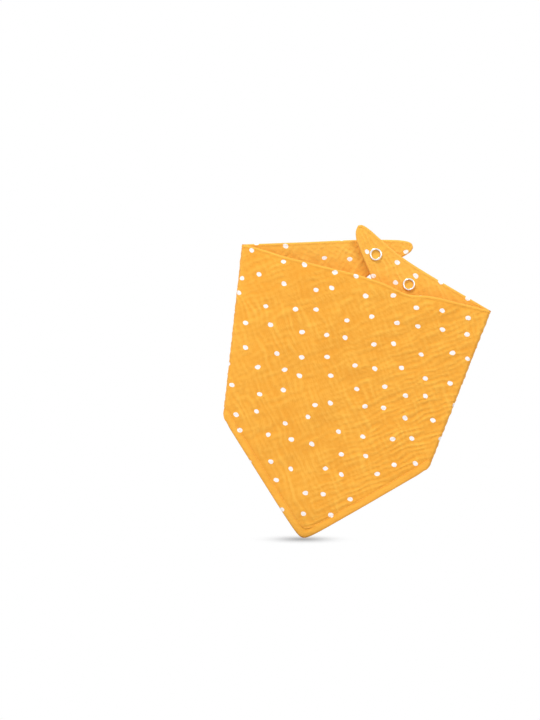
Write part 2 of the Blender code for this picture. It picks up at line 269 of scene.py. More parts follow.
def slab(name, columns, rows, place, finishes, merge=0.0):
    """A closed piece of cloth: a grid with a copy of itself behind and its rim joined.

    place(column, row, far) gives each corner's position, its place on the flat pattern and its relief.
    """
    bm = bmesh.new()
    bmesh.ops.create_grid(bm, x_segments=columns - 1, y_segments=rows - 1, size=0.5)
    grown = bmesh.ops.extrude_face_region(bm, geom=bm.faces[:])["geom"]
    far_corners = [v for v in grown if isinstance(v, bmesh.types.BMVert)]
    bmesh.ops.translate(bm, verts=far_corners, vec=(0.0, 0.0, 1.0))
    mesh = bpy.data.meshes.new(name)
    bm.to_mesh(mesh)
    bm.free()
    raw = np.empty(len(mesh.vertices) * 3)
    mesh.vertices.foreach_get("co", raw)
    raw = raw.reshape(-1, 3)
    column = np.rint((raw[:, 0] + 0.5) * (columns - 1)).astype(int)
    row = np.rint((raw[:, 1] + 0.5) * (rows - 1)).astype(int)
    far = raw[:, 2] > 0.5
    co, pattern, relief = place(column, row, far)
    mesh.vertices.foreach_set("co", co.astype(np.float32).ravel())
    height = mesh.attributes.new("relief", "FLOAT", "POINT")
    height.data.foreach_set("value", (relief / MM).astype(np.float32))
    corner = np.empty(len(mesh.loops), int)
    mesh.loops.foreach_get("vertex_index", corner)
    start = np.empty(len(mesh.polygons), int)
    mesh.polygons.foreach_get("loop_start", start)
    total = np.diff(np.append(start, len(corner)))
    is_lining = np.logical_and.reduceat(~far[corner], start)
    lining_corner = np.repeat(is_lining, total)[:, None]
    mirrored = pattern[corner] * (-1.0, 1.0) + LINING_SHIFT
    uv = np.where(lining_corner, mirrored, pattern[corner])
    mesh.uv_layers.new(name="pattern").data.foreach_set("uv", uv.astype(np.float32).ravel())
    mesh.polygons.foreach_set("material_index", is_lining.astype(int))
    mesh.update()
    for finish in finishes:
        mesh.materials.append(finish)
    bm = bmesh.new()
    bm.from_mesh(mesh)
    if merge:
        bmesh.ops.remove_doubles(bm, verts=bm.verts[:], dist=merge)
    bmesh.ops.recalc_face_normals(bm, faces=bm.faces[:])
    bm.to_mesh(mesh)
    bm.free()
    mesh.shade_smooth()
    mesh.set_sharp_from_angle(angle=CLOTH_SHARP)
    obj = bpy.data.objects.new(name, mesh)
    bpy.context.collection.objects.link(obj)
    return obj


# ---------------------------------------------------------------- the front

def neck_line(x):
    """Height of the neckline: a little higher at the left fold, with a sag where the spare snap shows."""
    x = x / MM
    return (1.6 * smoothstep((-60.0 - x) / 30.0) - 2.2 * smoothstep((x + 13.0) / 40.0)
            - 3.2 * np.exp(-(((x - 33.0) / 12.0) ** 2))) * MM


def lower_line(a):
    """Height of the lower edge for a share a of the half width, -1 to 1."""
    spread = (np.sqrt(a * a + TIP_ROUND**2) - TIP_ROUND) / (math.sqrt(1 + TIP_ROUND**2) - TIP_ROUND)
    return TIP_Z + spread * (LOWER_Z - TIP_Z) + 0.35 * CORNER_LIFT * smoothstep((np.abs(a) - 0.9) / 0.1)


def half_width(z):
    return NECK_HALF + SLOPE * z


def front_plan(across, down):
    """(x, z) on the front: across runs from fold axis to fold axis, -1 to 1, down from neckline to hem."""
    wide = NECK_HALF + (LOWER_HALF - NECK_HALF) * down
    a = across * (1.0 - FOLD_RADIUS * LEAN / wide)
    top, low = neck_line(a * NECK_HALF), lower_line(a)
    return np.stack([a * wide, top + (low - top) * down], axis=-1)


def front_lift(flat):
    """How far the front's middle layer stands forward: the neckline's bow, and slack in the cloth."""
    x, z = flat.T
    across = np.clip(1.0 - (x / np.maximum(half_width(z), LOWER_HALF * 0.9)) ** 2, 0.0, 1.0)
    bow = NECK_BOW * across * smoothstep(1.0 + z / BOW_END)
    slack = 0.85 * soft_noise(x / (46 * MM) + 3.1, z / (46 * MM) + 7.7, 3)
    slack = slack + 0.4 * soft_noise(x / (21 * MM), z / (21 * MM), 4)
    slack = slack + 0.24 * soft_noise((x * 0.83 + z * 0.56) / (26 * MM), (z * 0.83 - x * 0.56) / (9 * MM), 5)
    return bow + slack * MM * smoothstep(across * 2.2) * (0.35 + 0.65 * smoothstep(across * 1.4))


front_neck = np.stack([np.linspace(-NECK_HALF, NECK_HALF, 60)] * 2, axis=-1)
front_neck[:, 1] = neck_line(front_neck[:, 0])
edge_share = np.linspace(-1.0, 1.0, 71)
front_hem = np.stack([edge_share * LOWER_HALF, lower_line(edge_share)], axis=-1)


def seam_point(side, down):
    """The axis under a fold's outline, where the front's cloth hands over to the strap's."""
    neck = neck_line(np.array(side * NECK_HALF))
    z = neck + (LOWER_Z + CORNER_LIFT - neck) * down
    line = np.stack([side * half_width(z), z], axis=-1)
    return line - FOLD_RADIUS * FOLD_OUT * np.stack([side, np.ones_like(side)], axis=-1)


def front_depths(flat, pattern):
    """Depths of the front's outer face and lining, from the plane of the folds."""
    to_neck, to_hem = distance_to(flat, front_neck), distance_to(flat, front_hem)
    inset = np.minimum(to_neck, to_hem)
    half = half_profile(inset)
    fold_calm = smoothstep((half_width(flat[:, 1]) - np.abs(flat[:, 0])) / (9 * MM))
    calm = smoothstep((to_hem - 1.0 * MM) / (10.0 * MM)) * smoothstep((to_neck - 0.8 * MM) / (5.0 * MM))
    calm = calm * (0.45 + 0.55 * fold_calm)
    form = hem_relief(to_hem, HEM_STITCH) + neck_relief(to_neck)
    edge_pucker = 0.07 * MM * soft_noise(pattern[:, 0] / (2.4 * MM), pattern[:, 1] / (2.4 * MM), 71)
    edge_pucker = edge_pucker * smoothstep(inset / (1.5 * MM))
    outer = MIDDLE + half + form + edge_pucker + crinkle(pattern, FRONT_SEED) * calm
    lining = MIDDLE - half - 0.55 * form - 0.6 * crinkle(pattern, FRONT_LINING_SEED) * calm
    return outer, lining, half


EDGE_ROWS = [d * MM for d in (0.0, 0.1, 0.32, 0.65, 1.05, 1.6, 2.2, 2.9, 3.7, 4.6)]
HEM_ROWS = [d * MM for d in (0.0, 0.13, 0.42, 0.85, 1.4, 2.1, 2.9, 3.8, 4.7, 5.5, 6.2, 6.8, 7.35, 7.85, 8.35,
                             8.9, 9.6, 10.5, 11.5, 12.6)]
STRAP_ROWS = [d * MM for d in (0.0, 0.1, 0.32, 0.65, 1.05, 1.5, 1.95, 2.35, 2.75, 3.2, 3.8, 4.6, 5.5)]


def front_grid(columns_inside, middle_rows):
    """The front's columns, how far each is turned into the folds, and its rows."""
    columns = np.linspace(-1.0, 1.0, columns_inside)
    across = np.concatenate([[-1.0] * BEND_STEPS, columns, [1.0] * BEND_STEPS])
    turn = np.arange(BEND_STEPS, 0, -1) / BEND_STEPS * math.pi / 2
    turn = np.concatenate([turn, np.zeros(columns_inside), turn[::-1]])
    return across, turn, spaced(EDGE_ROWS, HEM_ROWS, middle_rows)


def place_front(grid):
    """Lays out the front's slab, with its half of each fold."""
    across_ticks, turn_ticks, rows = grid
    wide = across_ticks * (1.0 - FOLD_RADIUS * LEAN / NECK_HALF)
    down_table = row_share(rows, neck_line(wide * NECK_HALF) - lower_line(wide))

    def place(column, row, far):
        across, turn = across_ticks[column], turn_ticks[column]
        down = down_table[column, row]
        flat = front_plan(across, down)
        side = np.where(across < 0, -1.0, 1.0)
        eased = smoothstep(turn / (math.pi / 2))[:, None]
        out = FOLD_OUT * np.stack([side, np.ones_like(side)], axis=-1)
        flat = flat + (seam_point(side, down) - flat) * eased
        pattern = flat + out * (FOLD_RADIUS * turn)[:, None]
        outer, lining, half = front_depths(flat, pattern)
        depth = np.where(far, outer, lining)
        relief = np.where(far, depth - MIDDLE, MIDDLE - depth) - half
        plan = flat + out * (depth * np.sin(turn))[:, None]
        y = -(depth + front_lift(flat)) * np.cos(turn)
        return np.stack([plan[:, 0], y, plan[:, 1]], axis=-1), pattern, relief

    return place


def front_cloth(finishes):
    """The front's two cloths as one closed piece."""
    grid = front_grid(FRONT_COLUMNS, FRONT_ROWS)
    piece = slab("front_cloth", len(grid[0]), len(grid[2][0]), place_front(grid), finishes)
    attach(piece, "front")
    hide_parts("front_outer", "front_lining")


def front_fleece(finish):
    """The layer between the front's two cloths."""
    last = FRONT_FLEECE_GRID - 1

    def place(column, row, far):
        flat = front_plan(0.985 * (2.0 * column / last - 1.0), 0.03 + 0.92 * row / last)
        depth = np.where(far, FLEECE[1], FLEECE[0])
        co = np.stack([flat[:, 0], -(depth + front_lift(flat)), flat[:, 1]], axis=-1)
        return co, flat, np.zeros(len(flat))

    piece = slab("front_fleece", FRONT_FLEECE_GRID, FRONT_FLEECE_GRID, place, [finish, finish])
    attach(piece, "front")
    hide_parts("front_interlining")


def stitch_run(name, line, lifted, ride_on, finish, node):
    """A row of stitches along a line on both of the cloth's faces: small closed grains of thread.

    lifted(points, face) puts points of the line on a face.
    """
    length = length_of(line)
    count = int(length / STITCH_PITCH)
    share = (np.arange(count) + 0.5) / count
    reach = 0.5 * STITCH_LONG / length
    bm = bmesh.new()
    for face in (0, 1):
        tangents = lifted(along(line, share + reach), face) - lifted(along(line, share - reach), face)
        for centre, tangent in zip(lifted(along(line, share), face), tangents):
            turn = Vector(tangent).normalized().to_track_quat("Z", "Y").to_matrix().to_4x4()
            size = Matrix.Diagonal((STITCH_THICK, STITCH_THICK * 0.8, STITCH_LONG, 1.0))
            bmesh.ops.create_uvsphere(bm, u_segments=7, v_segments=6, radius=0.5,
                                      matrix=Matrix.Translation(centre) @ turn @ size)
    obj = as_object(name, bm, finish)
    obj.data.shade_smooth()
    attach(obj, ride_on)
    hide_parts(node)


def front_stitches(finish):
    """The stitches inside the front's lower edges."""
    share = np.linspace(-0.985, 0.985, 400)
    rise = HEM_STITCH * math.hypot(LOWER_HALF, LOWER_Z - TIP_Z) / LOWER_HALF
    line = np.stack([share * LOWER_HALF, lower_line(share) + rise], axis=-1)

    def lifted(points, face):
        depth = front_depths(points, points)[face] + front_lift(points)
        return np.stack([points[:, 0], -depth, points[:, 1]], axis=-1)

    stitch_run("front_stitching", line, lifted, "front", finish, "front_topstitch")


# ---------------------------------------------------------------- the straps

class Strap:
    """One folded strap: its outline, its fold and its two faces. side is 1 on the right."""

    def __init__(self, name, side, lower_edge, neck_edge, rise, flat_from, snaps, seed):
        self.name, self.side, self.rise, self.flat_from, self.seed = name, side, rise, flat_from, seed
        self.lower, self.neck = smooth_curve(lower_edge), smooth_curve(neck_edge)
        self.snaps = [np.array(s) for s in snaps]
        self.out = FOLD_OUT * (side, 1.0)
        near = 0.02
        self.start_rate = [self.fold_distance(along(edge, np.array(near))[None, :])[0] / near
                           for edge in (self.lower, self.neck)]

    def fold_distance(self, flat):
        """How far a point lies inside the fold's outline."""
        return (NECK_HALF - self.side * flat[..., 0] + SLOPE * flat[..., 1]) / LEAN

    def plan(self, s, t):
        """(x, z) on the strap: s from its fold to its tip, t from its lower edge to its neck edge."""
        low, high = along(self.lower, s), along(self.neck, s)
        return low + (high - low) * t[..., None]

    def depths(self, flat, pattern):
        """Depths of the strap's outer face and lining behind the plane of the folds."""
        to_low, to_neck = distance_to(flat, self.lower), distance_to(flat, self.neck)
        inset = np.minimum(to_low, to_neck)
        half = half_profile(inset)
        snap_calm = calm_at_snaps(flat, self.snaps)
        calm = smoothstep((to_low - 2.6 * MM) / (4.0 * MM)) * smoothstep((to_neck - 0.8 * MM) / (4.5 * MM))
        form = 0.7 * hem_relief(to_low, STRAP_STITCH) * smoothstep(to_low / (1.0 * MM)) + neck_relief(to_neck)
        form = form * snap_calm
        outer = MIDDLE + half + form + 0.8 * crinkle(pattern, self.seed) * calm * snap_calm
        behind = crinkle(pattern, self.seed + LINING_SEED_STEP)
        lining = MIDDLE - half - 0.7 * form - 0.8 * behind * calm * snap_calm
        return outer, lining, half

    def lift(self, flat):
        """How far the strap stands back from its fold, with a little slack in the cloth."""
        inside = self.fold_distance(flat) - FOLD_RADIUS
        x, z = flat.T
        slack = 0.3 * soft_noise(x / (24 * MM), z / (24 * MM), self.seed + 5) * smoothstep(inside / (25 * MM))
        slack = slack * calm_at_snaps(flat, self.snaps)
        return self.rise * smoothstep(inside / self.flat_from) + slack * MM

    def unfolded(self, flat):
        """Where a point of the strap lies on the flat pattern: reflected in its fold, past the bend."""
        beyond = np.maximum(self.fold_distance(flat) - FOLD_RADIUS, 0.0)
        return flat + self.out * (2.0 * BEND_LENGTH + 2.0 * beyond)[:, None]

    def place(self, columns, rows):
        """Lays out a slab on the strap; the first columns make its half of the fold."""
        reach = 1.0 - (1.0 - np.linspace(0.0, 1.0, columns)) ** 1.45
        bend = np.arange(BEND_STEPS, 0, -1) / BEND_STEPS * math.pi / 2
        turn_ticks = np.concatenate([bend, np.zeros(columns)])
        reach = np.concatenate([np.zeros(BEND_STEPS), reach])
        widths = np.hypot(*(along(self.neck, reach) - along(self.lower, reach)).T)
        down_table = row_share(rows, np.maximum(widths, 1e-5))

        def place(column, row, far):
            turn, t = turn_ticks[column], down_table[column, row]
            start = FOLD_RADIUS / (self.start_rate[0] * (1.0 - t) + self.start_rate[1] * t)
            flat = self.plan(start + (1.0 - start) * reach[column], t)
            eased = smoothstep(turn / (math.pi / 2))[:, None]
            pattern = self.unfolded(flat)
            home = seam_point(np.full(len(t), float(self.side)), 1.0 - t)
            pattern = pattern + (home - flat) * eased - self.out * (FOLD_RADIUS * turn)[:, None]
            flat = flat + (home - flat) * eased
            outer, lining, half = self.depths(flat, pattern)
            depth = np.where(far, outer, lining)
            relief = np.where(far, depth - MIDDLE, MIDDLE - depth) - half
            plan = flat + self.out * (depth * np.sin(turn))[:, None]
            y = (depth + self.lift(flat)) * np.cos(turn)
            return np.stack([plan[:, 0], y, plan[:, 1]], axis=-1), pattern, relief

        return place

    def cloth(self, finishes):
        """The strap's two cloths as one closed piece, meeting the front's at the fold."""
        body = self.name
        rows = spaced(STRAP_ROWS, EDGE_ROWS, STRAP_MIDDLE_ROWS)
        piece = slab(body + "_cloth", STRAP_COLUMNS + BEND_STEPS, len(rows[0]),
                     self.place(STRAP_COLUMNS, rows), finishes, 0.02 * MM)
        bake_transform(piece)
        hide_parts(body + "_outer", body + "_lining")
        outline = np.concatenate([self.lower, self.neck[::-1]])
        fold_line = np.array([-self.side * self.out[1], self.side * self.out[0]])
        wide, long_way = np.ptp(outline @ fold_line), np.max(self.fold_distance(outline))

    def fleece(self, finish):
        """The layer between the strap's two cloths."""
        last = STRAP_FLEECE_GRID - 1

        def place(column, row, far):
            s, t = 0.05 + 0.86 * column / last, row / last
            widths = np.hypot(*(along(self.neck, s) - along(self.lower, s)).T)
            margin = np.minimum(4.5 * MM / widths, 0.45)
            flat = self.plan(s, margin + t * (1.0 - 2.0 * margin))
            depth = np.where(far, FLEECE[1], FLEECE[0])
            co = np.stack([flat[:, 0], depth + self.lift(flat), flat[:, 1]], axis=-1)
            return co, self.unfolded(flat), np.zeros(len(flat))

        piece = slab(self.name + "_fleece", STRAP_FLEECE_GRID, STRAP_FLEECE_GRID, place, [finish, finish])
        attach(piece, self.name)
        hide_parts(self.name + "_interlining")

    def stitches(self, finish):
        """The stitches inside the strap's lower edge."""
        share = np.linspace(0.035, 0.955, 300)
        low, high = along(self.lower, share), along(self.neck, share)
        wide = np.maximum(np.hypot(*(high - low).T), 1e-6)
        tangent = np.gradient(low, axis=0)
        tangent = tangent / np.hypot(*tangent.T)[:, None]
        inward = np.stack([-tangent[:, 1], tangent[:, 0]], axis=-1)
        inward = inward * np.sign(np.sum(inward * (high - low), axis=1))[:, None]
        line = low + inward * np.minimum(STRAP_STITCH, 0.3 * wide)[:, None]

        def lifted(points, face):
            depth = self.depths(points, self.unfolded(points))[face] + self.lift(points)
            return np.stack([points[:, 0], depth, points[:, 1]], axis=-1)

        stitch_run(self.name + "_stitching", line, lifted, self.name, finish, self.name + "_topstitch")


# ---------------------------------------------------------------- the press snaps

def snap_centre(node):
    """A snap piece's axis, as (x, z)."""
    low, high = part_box(node)
    return (low.x + high.x) / 2, (low.z + high.z) / 2


def turned(bm, profile, centre, base, facing):
    """Spins a closed (radius, height) profile in millimetres about a snap's axis."""
    ring = [bm.verts.new((r * MM, base + facing * h * MM, 0.0)) for r, h in profile]
    edges = [bm.edges.new(pair) for pair in zip(ring, ring[1:] + ring[:1])]
    bmesh.ops.spin(bm, geom=ring + edges, cent=(0, 0, 0), axis=(0, 1, 0), angle=2 * math.pi,
                   steps=TURNED_STEPS, use_merge=True)
    bmesh.ops.remove_doubles(bm, verts=bm.verts[:], dist=0.001 * MM)
    bmesh.ops.translate(bm, verts=bm.verts[:], vec=(centre[0], 0.0, centre[1]))


def metal_piece(name, bm, body, node, finish):
    """A finished piece of a snap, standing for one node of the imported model."""
    bmesh.ops.recalc_face_normals(bm, faces=bm.faces[:])
    obj = as_object(name, bm, finish)
    obj.data.shade_smooth()
    obj.data.set_sharp_from_angle(angle=METAL_SHARP)
    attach(obj, body)
    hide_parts(node)


def arc(centre_r, centre_h, radius_r, radius_h, first, last, steps):
    """Points of an arc in a profile, angles in degrees from outwards."""
    angles = [math.radians(first + (last - first) * i / steps) for i in range(steps + 1)]
    return [(centre_r + radius_r * math.cos(a), centre_h + radius_h * math.sin(a)) for a in angles]


def open_ring(node, body, facing, finish):
    """The open cap on one face, domed with a rolled inner lip, and its prongs through the cloth."""
    low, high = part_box(node)
    centre = snap_centre(node)
    top = low.y if facing < 0 else high.y
    base = top - facing * 1.0 * MM
    profile = [(4.72, -0.25)] + arc(4.2, 0.35, 0.55, 0.62, 0, 90, 8)
    profile += arc(3.85, 0.35, 0.5, 0.6, 95, 180, 8) + [(3.35, -0.25)]
    bm = bmesh.new()
    turned(bm, profile, centre, base, facing)
    reach = abs(high.y - low.y) - 1.0 * MM
    for i in range(5):
        turn = Matrix.Rotation(2 * math.pi * (i + 0.5) / 5, 4, "Y")
        size = Matrix.Diagonal((1.1 * MM, reach, 0.4 * MM, 1.0))
        shift = Matrix.Translation((0, base - facing * reach / 2, 4.05 * MM))
        place = Matrix.Translation((centre[0], 0, centre[1]))
        bmesh.ops.create_cube(bm, size=1.0, matrix=place @ turn @ shift @ size)
    metal_piece(node.replace("_ring", "_open_ring"), bm, body, node, finish)


def snap_socket(node, body, finish):
    """The female half: a rolled rim, a dished face and a bore."""
    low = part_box(node)[0]
    centre = snap_centre(node)
    profile = [(2.35, 0.0), (4.7, 0.0)] + arc(4.55, 0.45, 0.45, 0.45, -90, 0, 6)[1:]
    profile += arc(4.45, 1.35, 0.55, 0.6, 0, 90, 8) + arc(3.95, 1.35, 0.5, 0.45, 100, 170, 5)
    profile += [(3.3, 1.38), (3.05, 1.45)] + arc(2.75, 1.55, 0.4, 0.42, 60, 180, 7)
    profile += [(2.35, 1.35), (2.75, 1.2), (2.75, 0.6), (2.35, 0.5)]
    bm = bmesh.new()
    turned(bm, profile, centre, low.y, 1)
    metal_piece(node + "_rim", bm, body, node, finish)


def snap_spring(node, body, finish):
    """The split wire that grips the stud's neck."""
    low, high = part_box(node)
    centre = ((low.x + high.x) / 2, (low.y + high.y) / 2, (low.z + high.z) / 2)
    bm = bmesh.new()
    made = bmesh.ops.create_circle(bm, segments=10, radius=0.24 * MM, cap_ends=True)
    bmesh.ops.translate(bm, verts=made["verts"], vec=(2.2 * MM, 0, 0))
    bmesh.ops.rotate(bm, verts=bm.verts[:], cent=(0, 0, 0), matrix=Matrix.Rotation(math.radians(-20), 3, "Y"))
    bmesh.ops.spin(bm, geom=bm.faces[:], cent=(0, 0, 0), axis=(0, 1, 0), angle=-math.radians(320), steps=44)
    bmesh.ops.translate(bm, verts=bm.verts[:], vec=centre)
    metal_piece(node + "_wire", bm, body, node, finish)


def snap_stud(node, body, finish):
    """The male half: a dished flange and a post with a bulged, slightly hollow head."""
    low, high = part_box(node)
    centre = snap_centre(node)
    reach = (high.y - low.y) / MM
    profile = [(0.0, 0.0), (4.6, 0.0)] + arc(4.6, 0.4, 0.4, 0.4, -90, 80, 8)[1:]
    profile += [(3.9, 0.62), (3.2, 0.5), (2.3, 0.5), (1.75, 0.75), (1.6, 1.1), (1.6, reach - 1.15)]
    profile += arc(1.45, reach - 0.6, 0.55, 0.6, -60, 90, 9) + [(0.9, reach - 0.08), (0.5, reach - 0.25),
                                                             (0.0, reach - 0.3)]
    bm = bmesh.new()
    turned(bm, profile, centre, high.y, -1)
    metal_piece(node + "_post", bm, body, node, finish)


# ---------------------------------------------------------------- finishes

OUTER_YELLOW, OUTER_DEEP = (0.97, 0.498, 0.070, 1.0), (0.85, 0.345, 0.029, 1.0)
# the lining's colours are lighter than the outer cloth's, to make up for the shade in the gap between the
# front and the straps: painted light
LINING_YELLOW, LINING_DEEP = (0.945, 0.518, 0.086, 1.0), (0.895, 0.415, 0.050, 1.0)
OUTER_DOTS, LINING_DOTS = (0.955, 0.925, 0.925, 1.0), (0.955, 0.925, 0.92, 1.0)


class Wire:
    """A socket of a finish, on which sums are written as sums."""

    def __init__(self, finish, socket):
        self.finish, self.socket = finish, socket

    def maths(self, operation, *values):
        return self.finish.node("ShaderNodeMath", {"operation": operation}, dict(enumerate(values)))

    def sine(self):
        return self.maths("SINE", self)

    def cosine(self):
        return self.maths("COSINE", self)

    def __add__(self, other):
        return self.maths("ADD", self, other)

    def __radd__(self, other):
        return self.maths("ADD", other, self)

    def __sub__(self, other):
        return self.maths("SUBTRACT", self, other)

    def __rsub__(self, other):
        return self.maths("SUBTRACT", other, self)

    def __mul__(self, other):
        return self.maths("MULTIPLY", self, other)

    def __rmul__(self, other):
        return self.maths("MULTIPLY", other, self)

    def __truediv__(self, other):
        return self.maths("DIVIDE", self, other)

    def __pow__(self, other):
        return self.maths("POWER", self, other)


class Finish:
    """A material in the making."""

    def __init__(self, name):
        self.material = bpy.data.materials.new(name)
        self.material.use_nodes = True
        self.tree = self.material.node_tree
        self.shader = self.tree.nodes["Principled BSDF"]

    def put(self, socket, value):
        if isinstance(value, Wire):
            self.tree.links.new(value.socket, socket)
        else:
            socket.default_value = value

    def node(self, kind, settings=None, sockets=None, output=0):
        """Any node: its settings first, then the values or links of its sockets."""
        made = self.tree.nodes.new(kind)
        for key, value in (settings or {}).items():
            setattr(made, key, value)
        for key, value in (sockets or {}).items():
            self.put(made.inputs[key], value)
        return Wire(self, made.outputs[output])

    def noise(self, where, scale, detail=2.0, rough=0.5):
        return self.node("ShaderNodeTexNoise", {"noise_dimensions": "3D"},
                         {"Vector": where, "Scale": scale, "Detail": detail, "Roughness": rough})

    def ranged(self, value, low, high, to_low=0.0, to_high=1.0):
        return self.node("ShaderNodeMapRange", {"interpolation_type": "SMOOTHSTEP"},
                         {"Value": value, "From Min": low, "From Max": high,
                          "To Min": to_low, "To Max": to_high})

    def mix(self, amount, one, other):
        return self.node("ShaderNodeMix", {"data_type": "RGBA"}, {0: amount, 6: one, 7: other}, output=2)

    def split(self, vector):
        made = self.tree.nodes.new("ShaderNodeSeparateXYZ")
        self.put(made.inputs[0], vector)
        return [Wire(self, socket) for socket in made.outputs]

    def join(self, x, y, z=0.0):
        return self.node("ShaderNodeCombineXYZ", {}, {0: x, 1: y, 2: z})

    def bump(self, height, strength, distance, normal=None):
        sockets = {"Height": height, "Strength": strength, "Distance": distance}
        if normal:
            sockets["Normal"] = normal
        return self.node("ShaderNodeBump", {}, sockets)

    def done(self, **sockets):
        for key, value in sockets.items():
            self.put(self.shader.inputs[key.replace("_", " ")], value)
        return self.material


def muslin(name, dot_shift, base, deep, dot_colour):
    """Crinkled double gauze with printed dots, drawn on the flat pattern in millimetres."""
    f = Finish(name)
    uv = f.node("ShaderNodeUVMap", {"uv_map": "pattern"})
    place = f.node("ShaderNodeVectorMath", {"operation": "SCALE"}, {0: uv, "Scale": 1000.0})
    x, y, _ = f.split(place)

    # the dots' loose lattice
    (ax, ay), (bx, by) = DOT_STEP_A, DOT_STEP_B
    area = ax * by - ay * bx
    u = x * (by / area) + y * (-bx / area) + dot_shift[0]
    v = x * (-ay / area) + y * (ax / area) + dot_shift[1]
    cells = f.tree.nodes.new("ShaderNodeTexVoronoi")
    cells.voronoi_dimensions, cells.feature = "2D", "F1"
    f.put(cells.inputs["Vector"], f.join(u, v))
    f.put(cells.inputs["Scale"], 1.0)
    f.put(cells.inputs["Randomness"], DOT_JITTER)
    pu, pv, _ = f.split(Wire(f, cells.outputs["Position"]))
    du, dv = u - pu, v - pv
    dx, dy = du * ax + dv * bx, du * ay + dv * by
    spin, _, size = f.split(Wire(f, cells.outputs["Color"]))
    angle = (spin - 0.5) * 0.9 - 0.07
    c, s = angle.cosine(), angle.sine()
    wobble = f.noise(place, 0.42, 1.0)
    along_dot = (dx * c + dy * s) / (DOT_LONG + 0.24 * size)
    over_dot = (dy * c - dx * s) / (DOT_WIDE + 0.2 * size)
    reach = (along_dot * along_dot + over_dot * over_dot) ** 0.5 + (wobble - 0.5) * 0.55
    dot = f.ranged(reach, 0.90, 1.04, 1.0, 0.0)

    # threads of the gauze: warp and weft with slubs, and painted shade deeper in the crinkles' valleys and
    # the hems' grooves
    warp_slub = f.noise(f.join(x * 1.9, y * 0.10), 1.0, 2.0)
    weft_slub = f.noise(f.join(x * 0.10, y * 1.9, 5.0), 1.0, 2.0)
    weave = (x * (2.0 * math.pi / WARP_PITCH)).sine() * (y * (2.0 * math.pi / WEFT_PITCH)).sine()
    slubs = warp_slub + weft_slub - 1.0
    patches = f.noise(place, 0.035, 2.0)
    relief = f.node("ShaderNodeAttribute", {"attribute_type": "GEOMETRY", "attribute_name": "relief"},
                    output=2)
    # deeper where the relief is low and lighter where it is high: painted shade in the crinkles, over real
    # patches and slubs of tone
    tone_and_crease_shade = f.ranged(patches * 0.5 + slubs * 0.3 + relief * 0.75, -0.25, 0.85)
    cloth = f.mix(tone_and_crease_shade, deep, base)
    printed = f.mix(dot * (0.97 - 0.06 * (weave * 0.5 + 0.5)), cloth, dot_colour)

    # small crinkles between the larger modelled ones
    ridge_cos, ridge_sin = math.cos(math.radians(LONG_RIDGES)), math.sin(math.radians(LONG_RIDGES))
    turned_x = x * ridge_cos + y * ridge_sin
    turned_y = y * ridge_cos - x * ridge_sin
    fine = f.noise(f.join(turned_x * 0.16, turned_y * 0.42, 2.0), 1.0, 3.0, 0.55)
    cross = f.noise(f.join(turned_x * 0.38, turned_y * 0.16, 8.0), 1.0, 2.0, 0.5)
    crinkles = f.bump(fine * 0.7 + cross * 0.5, 0.55, 0.9 * MM)
    threads = f.bump(weave * 0.35 + slubs * 1.3 - dot * 0.15, 0.28, 0.12 * MM, crinkles)
    return f.done(Base_Color=printed, Roughness=0.93 - 0.12 * dot, Normal=threads,
                  Sheen_Weight=0.12, Sheen_Roughness=0.6, Specular_IOR_Level=0.18)


def thread_finish():
    """Twisted cotton, a shade deeper than the cloth."""
    f = Finish("cotton_thread")
    where = f.node("ShaderNodeTexCoord", output=3)
    x, y, z = f.split(where)
    twist = ((x + z + y) * (2.0 * math.pi / THREAD_TWIST)).sine()
    # deeper in the twist's grooves and lighter on its plies: painted shade
    shade = f.mix(twist * 0.5 + 0.5, (0.90, 0.39, 0.045, 1.0), (0.97, 0.50, 0.09, 1.0))
    return f.done(Base_Color=shade, Roughness=0.62, Normal=f.bump(twist, 0.35, 0.05 * MM),
                  Sheen_Weight=0.1)


def chrome(name, colour, roughness):
    """Bright plated brass, with faint wear and turning marks."""
    f = Finish(name)
    where = f.node("ShaderNodeTexCoord", output=3)
    wear = f.noise(where, 900.0, 3.0)
    spots = f.noise(where, 4200.0, 2.0)
    dull = f.ranged(wear, 0.45, 0.75)
    tint = f.mix(dull, colour, tuple(c * 0.9 for c in colour[:3]) + (1.0,))
    return f.done(Base_Color=tint, Metallic=1.0, Roughness=roughness + dull * 0.09 + spots * 0.04,
                  Normal=f.bump(spots, 0.05, 0.03 * MM))


def fleece_finish():
    """The soft interlining, hidden between the two faces."""
    f = Finish("soft_fleece")
    where = f.node("ShaderNodeTexCoord", output=3)
    fuzz = f.noise(where, 1400.0, 4.0, 0.6)
    shade = f.mix(fuzz, (0.78, 0.75, 0.68, 1.0), (0.90, 0.88, 0.82, 1.0))
    return f.done(Base_Color=shade, Roughness=0.97, Normal=f.bump(fuzz, 0.6, 0.3 * MM), Sheen_Weight=0.3)


# ---------------------------------------------------------------- the studio

VIEW_RIGHT = Vector((0.9707, 0.0, 0.2402))
VIEW_UP = Vector((-0.2402, 0.0, 0.9707))
VIEW_BACK = VIEW_RIGHT.cross(VIEW_UP)
AIM = Vector((-0.0564, 0.0, -0.0787))
CAMERA_DISTANCE = 1.824
CAMERA_LENS, CAMERA_SENSOR = 120.0, 36.0
WHITE, TENT_WHITE = (1.0, 1.0, 1.0, 1.0), (1.0, 0.98, 0.97, 1.0)
ROOM_LOW, ROOM_MIDDLE = (0.45, 0.46, 0.49, 1.0), (0.66, 0.67, 0.69, 1.0)
ROOM_LIGHT = 0.46
TENT_LIGHT = 0.95
FLOOR_GREY, SHADE_GREY = (0.4, 0.4, 0.4, 1.0), (0.10, 0.10, 0.11, 1.0)
FLOOR_SPILL = 0.22
FLOOR_HALF = 2.5
FLOOR_DROP = 16.0 * MM
FLOOR_GAP = 1.3 * MM
TIP_SHADE = (55 * MM, 74 * MM)
SHADE_DEPTH = 0.62
LAMP_AIM = Vector((0.0, 0.0, -0.08))
